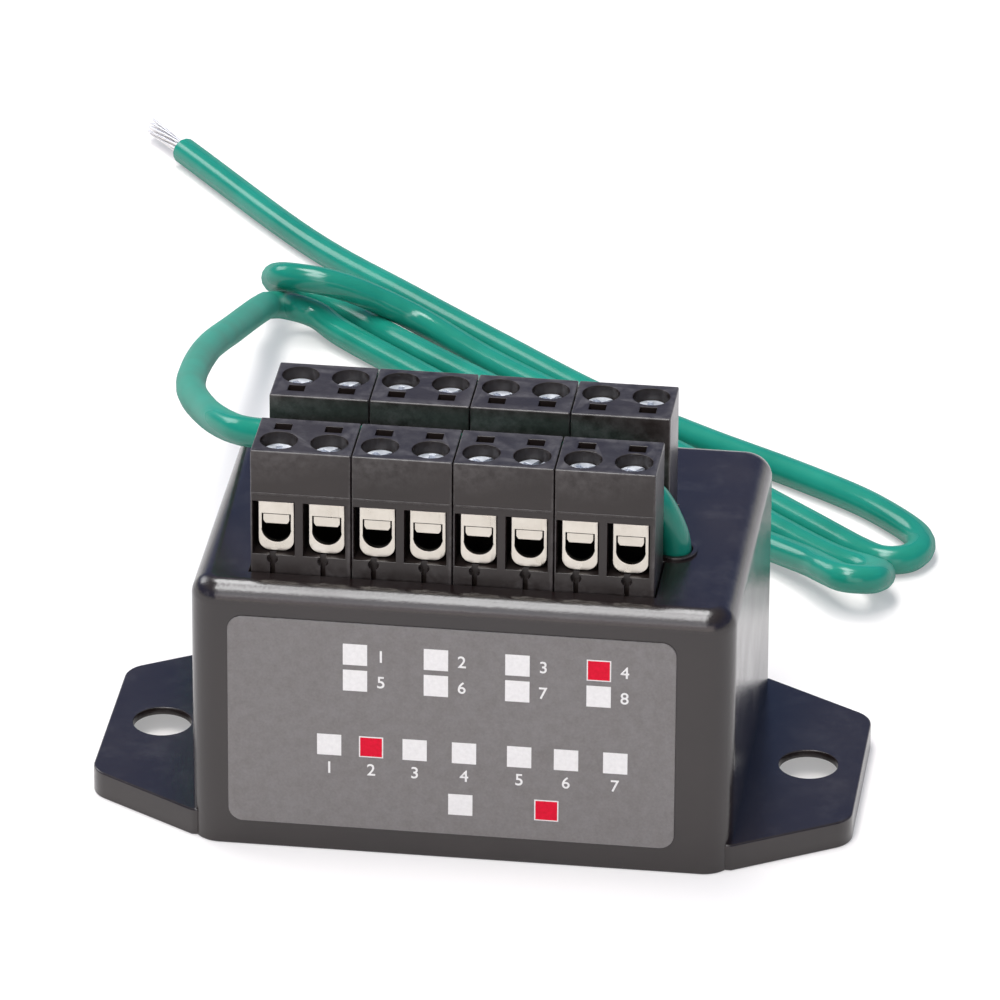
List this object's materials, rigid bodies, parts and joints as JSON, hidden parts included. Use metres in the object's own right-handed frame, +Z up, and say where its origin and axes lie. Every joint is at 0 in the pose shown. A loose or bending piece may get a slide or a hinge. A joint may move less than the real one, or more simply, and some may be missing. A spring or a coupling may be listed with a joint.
{
  "type": "surge protective device",
  "caption": "Potted surge protector box with two rows of rising-clamp screw terminals, two drilled mounting ears and a green ground wire folded up behind it.",
  "frame": {"origin": "middle of the underside, on the surface that the box stands on, without the ground wire", "axes": "+X to the right seen from the labelled front, along the terminal rows; +Y to the back; +Z up, away from the mounting surface"},
  "size_m": [0.1008, 0.1677, 0.0425],
  "materials": {
    "housing_black": "moulded, satin, with a fine pebble grain",
    "potting_black": "cast resin, flat and slightly glossy",
    "board_green": "glass-epoxy board with green lacquer",
    "label_grey": "printed film, semi-matt",
    "terminal_black": "moulded, satin",
    "screw_steel": "zinc plated, bright",
    "clamp_nickel": "nickel plated, bright",
    "contact_brass": "tinned brass",
    "tube_ceramic": "ceramic with metal ends",
    "diode_black": "moulded epoxy",
    "resistor_tan": "lacquered",
    "bus_copper": "tinned copper strip",
    "wire_green": "smooth PVC insulation",
    "strand_tin": "tinned copper strands"
  },
  "bodies": {
    "base": {"housing": "housing_black", "potting_compound": "potting_black", "circuit_board": "board_green", "rating_label": "label_grey", "front_terminal_block_1": "terminal_black", "front_terminal_block_2": "terminal_black", "front_terminal_block_3": "terminal_black", "front_terminal_block_4": "terminal_black", "rear_terminal_block_1": "terminal_black", "rear_terminal_block_2": "terminal_black", "rear_terminal_block_3": "terminal_black", "rear_terminal_block_4": "terminal_black", "front_contacts": "contact_brass", "rear_contacts": "contact_brass", "gas_tube_1": "tube_ceramic", "gas_tube_2": "tube_ceramic", "gas_tube_3": "tube_ceramic", "gas_tube_4": "tube_ceramic", "avalanche_diode_1": "diode_black", "avalanche_diode_2": "diode_black", "avalanche_diode_3": "diode_black", "avalanche_diode_4": "diode_black", "series_resistors": "resistor_tan", "ground_bus": "bus_copper", "ground_wire": "wire_green", "ground_wire_tip": "strand_tin"},
    "front_screw_1": {"front_screw_1": "screw_steel"},
    "front_clamp_1": {"front_clamp_1": "clamp_nickel"},
    "front_screw_2": {"front_screw_2": "screw_steel"},
    "front_clamp_2": {"front_clamp_2": "clamp_nickel"},
    "front_screw_3": {"front_screw_3": "screw_steel"},
    "front_clamp_3": {"front_clamp_3": "clamp_nickel"},
    "front_screw_4": {"front_screw_4": "screw_steel"},
    "front_clamp_4": {"front_clamp_4": "clamp_nickel"},
    "front_screw_5": {"front_screw_5": "screw_steel"},
    "front_clamp_5": {"front_clamp_5": "clamp_nickel"},
    "front_screw_6": {"front_screw_6": "screw_steel"},
    "front_clamp_6": {"front_clamp_6": "clamp_nickel"},
    "front_screw_7": {"front_screw_7": "screw_steel"},
    "front_clamp_7": {"front_clamp_7": "clamp_nickel"},
    "front_screw_8": {"front_screw_8": "screw_steel"},
    "front_clamp_8": {"front_clamp_8": "clamp_nickel"},
    "rear_screw_1": {"rear_screw_1": "screw_steel"},
    "rear_clamp_1": {"rear_clamp_1": "clamp_nickel"},
    "rear_screw_2": {"rear_screw_2": "screw_steel"},
    "rear_clamp_2": {"rear_clamp_2": "clamp_nickel"},
    "rear_screw_3": {"rear_screw_3": "screw_steel"},
    "rear_clamp_3": {"rear_clamp_3": "clamp_nickel"},
    "rear_screw_4": {"rear_screw_4": "screw_steel"},
    "rear_clamp_4": {"rear_clamp_4": "clamp_nickel"},
    "rear_screw_5": {"rear_screw_5": "screw_steel"},
    "rear_clamp_5": {"rear_clamp_5": "clamp_nickel"},
    "rear_screw_6": {"rear_screw_6": "screw_steel"},
    "rear_clamp_6": {"rear_clamp_6": "clamp_nickel"},
    "rear_screw_7": {"rear_screw_7": "screw_steel"},
    "rear_clamp_7": {"rear_clamp_7": "clamp_nickel"},
    "rear_screw_8": {"rear_screw_8": "screw_steel"},
    "rear_clamp_8": {"rear_clamp_8": "clamp_nickel"}
  },
  "joints": [
    {"name": "front_screw_turn_1", "type": "hinge", "parent": "base", "child": "front_screw_1", "pos_m": [-0.01908, -0.013, 0.0396], "axis": [0, 0, 1], "range_deg": [-1200, 0]},
    {"name": "front_clamp_rise_1", "type": "slide", "parent": "base", "child": "front_clamp_1", "axis": [0, 0, 1], "range_m": [0, 0.0015]},
    {"name": "front_screw_turn_2", "type": "hinge", "parent": "base", "child": "front_screw_2", "pos_m": [-0.014, -0.013, 0.0396], "axis": [0, 0, 1], "range_deg": [-1200, 0]},
    {"name": "front_clamp_rise_2", "type": "slide", "parent": "base", "child": "front_clamp_2", "axis": [0, 0, 1], "range_m": [0, 0.0015]},
    {"name": "front_screw_turn_3", "type": "hinge", "parent": "base", "child": "front_screw_3", "pos_m": [-0.00892, -0.013, 0.0396], "axis": [0, 0, 1], "range_deg": [-1200, 0]},
    {"name": "front_clamp_rise_3", "type": "slide", "parent": "base", "child": "front_clamp_3", "axis": [0, 0, 1], "range_m": [0, 0.0015]},
    {"name": "front_screw_turn_4", "type": "hinge", "parent": "base", "child": "front_screw_4", "pos_m": [-0.00384, -0.013, 0.0396], "axis": [0, 0, 1], "range_deg": [-1200, 0]},
    {"name": "front_clamp_rise_4", "type": "slide", "parent": "base", "child": "front_clamp_4", "axis": [0, 0, 1], "range_m": [0, 0.0015]},
    {"name": "front_screw_turn_5", "type": "hinge", "parent": "base", "child": "front_screw_5", "pos_m": [0.00124, -0.013, 0.0396], "axis": [0, 0, 1], "range_deg": [-1200, 0]},
    {"name": "front_clamp_rise_5", "type": "slide", "parent": "base", "child": "front_clamp_5", "axis": [0, 0, 1], "range_m": [0, 0.0015]},
    {"name": "front_screw_turn_6", "type": "hinge", "parent": "base", "child": "front_screw_6", "pos_m": [0.00632, -0.013, 0.0396], "axis": [0, 0, 1], "range_deg": [-1200, 0]},
    {"name": "front_clamp_rise_6", "type": "slide", "parent": "base", "child": "front_clamp_6", "axis": [0, 0, 1], "range_m": [0, 0.0015]},
    {"name": "front_screw_turn_7", "type": "hinge", "parent": "base", "child": "front_screw_7", "pos_m": [0.0114, -0.013, 0.0396], "axis": [0, 0, 1], "range_deg": [-1200, 0]},
    {"name": "front_clamp_rise_7", "type": "slide", "parent": "base", "child": "front_clamp_7", "axis": [0, 0, 1], "range_m": [0, 0.0015]},
    {"name": "front_screw_turn_8", "type": "hinge", "parent": "base", "child": "front_screw_8", "pos_m": [0.01648, -0.013, 0.0396], "axis": [0, 0, 1], "range_deg": [-1200, 0]},
    {"name": "front_clamp_rise_8", "type": "slide", "parent": "base", "child": "front_clamp_8", "axis": [0, 0, 1], "range_m": [0, 0.0015]},
    {"name": "rear_screw_turn_1", "type": "hinge", "parent": "base", "child": "rear_screw_1", "pos_m": [-0.01908, 0.0019, 0.0396], "axis": [0, 0, 1], "range_deg": [-1200, 0]},
    {"name": "rear_clamp_rise_1", "type": "slide", "parent": "base", "child": "rear_clamp_1", "axis": [0, 0, 1], "range_m": [0, 0.0015]},
    {"name": "rear_screw_turn_2", "type": "hinge", "parent": "base", "child": "rear_screw_2", "pos_m": [-0.014, 0.0019, 0.0396], "axis": [0, 0, 1], "range_deg": [-1200, 0]},
    {"name": "rear_clamp_rise_2", "type": "slide", "parent": "base", "child": "rear_clamp_2", "axis": [0, 0, 1], "range_m": [0, 0.0015]},
    {"name": "rear_screw_turn_3", "type": "hinge", "parent": "base", "child": "rear_screw_3", "pos_m": [-0.00892, 0.0019, 0.0396], "axis": [0, 0, 1], "range_deg": [-1200, 0]},
    {"name": "rear_clamp_rise_3", "type": "slide", "parent": "base", "child": "rear_clamp_3", "axis": [0, 0, 1], "range_m": [0, 0.0015]},
    {"name": "rear_screw_turn_4", "type": "hinge", "parent": "base", "child": "rear_screw_4", "pos_m": [-0.00384, 0.0019, 0.0396], "axis": [0, 0, 1], "range_deg": [-1200, 0]},
    {"name": "rear_clamp_rise_4", "type": "slide", "parent": "base", "child": "rear_clamp_4", "axis": [0, 0, 1], "range_m": [0, 0.0015]},
    {"name": "rear_screw_turn_5", "type": "hinge", "parent": "base", "child": "rear_screw_5", "pos_m": [0.00124, 0.0019, 0.0396], "axis": [0, 0, 1], "range_deg": [-1200, 0]},
    {"name": "rear_clamp_rise_5", "type": "slide", "parent": "base", "child": "rear_clamp_5", "axis": [0, 0, 1], "range_m": [0, 0.0015]},
    {"name": "rear_screw_turn_6", "type": "hinge", "parent": "base", "child": "rear_screw_6", "pos_m": [0.00632, 0.0019, 0.0396], "axis": [0, 0, 1], "range_deg": [-1200, 0]},
    {"name": "rear_clamp_rise_6", "type": "slide", "parent": "base", "child": "rear_clamp_6", "axis": [0, 0, 1], "range_m": [0, 0.0015]},
    {"name": "rear_screw_turn_7", "type": "hinge", "parent": "base", "child": "rear_screw_7", "pos_m": [0.0114, 0.0019, 0.0396], "axis": [0, 0, 1], "range_deg": [-1200, 0]},
    {"name": "rear_clamp_rise_7", "type": "slide", "parent": "base", "child": "rear_clamp_7", "axis": [0, 0, 1], "range_m": [0, 0.0015]},
    {"name": "rear_screw_turn_8", "type": "hinge", "parent": "base", "child": "rear_screw_8", "pos_m": [0.01648, 0.0019, 0.0396], "axis": [0, 0, 1], "range_deg": [-1200, 0]},
    {"name": "rear_clamp_rise_8", "type": "slide", "parent": "base", "child": "rear_clamp_8", "axis": [0, 0, 1], "range_m": [0, 0.0015]}
  ],
  "couplings": [
    {"joint": "front_screw_turn_1", "follows": "front_clamp_rise_1", "rad_per_m": -13963},
    {"joint": "front_screw_turn_2", "follows": "front_clamp_rise_2", "rad_per_m": -13963},
    {"joint": "front_screw_turn_3", "follows": "front_clamp_rise_3", "rad_per_m": -13963},
    {"joint": "front_screw_turn_4", "follows": "front_clamp_rise_4", "rad_per_m": -13963},
    {"joint": "front_screw_turn_5", "follows": "front_clamp_rise_5", "rad_per_m": -13963},
    {"joint": "front_screw_turn_6", "follows": "front_clamp_rise_6", "rad_per_m": -13963},
    {"joint": "front_screw_turn_7", "follows": "front_clamp_rise_7", "rad_per_m": -13963},
    {"joint": "front_screw_turn_8", "follows": "front_clamp_rise_8", "rad_per_m": -13963},
    {"joint": "rear_screw_turn_1", "follows": "rear_clamp_rise_1", "rad_per_m": -13963},
    {"joint": "rear_screw_turn_2", "follows": "rear_clamp_rise_2", "rad_per_m": -13963},
    {"joint": "rear_screw_turn_3", "follows": "rear_clamp_rise_3", "rad_per_m": -13963},
    {"joint": "rear_screw_turn_4", "follows": "rear_clamp_rise_4", "rad_per_m": -13963},
    {"joint": "rear_screw_turn_5", "follows": "rear_clamp_rise_5", "rad_per_m": -13963},
    {"joint": "rear_screw_turn_6", "follows": "rear_clamp_rise_6", "rad_per_m": -13963},
    {"joint": "rear_screw_turn_7", "follows": "rear_clamp_rise_7", "rad_per_m": -13963},
    {"joint": "rear_screw_turn_8", "follows": "rear_clamp_rise_8", "rad_per_m": -13963}
  ]
}
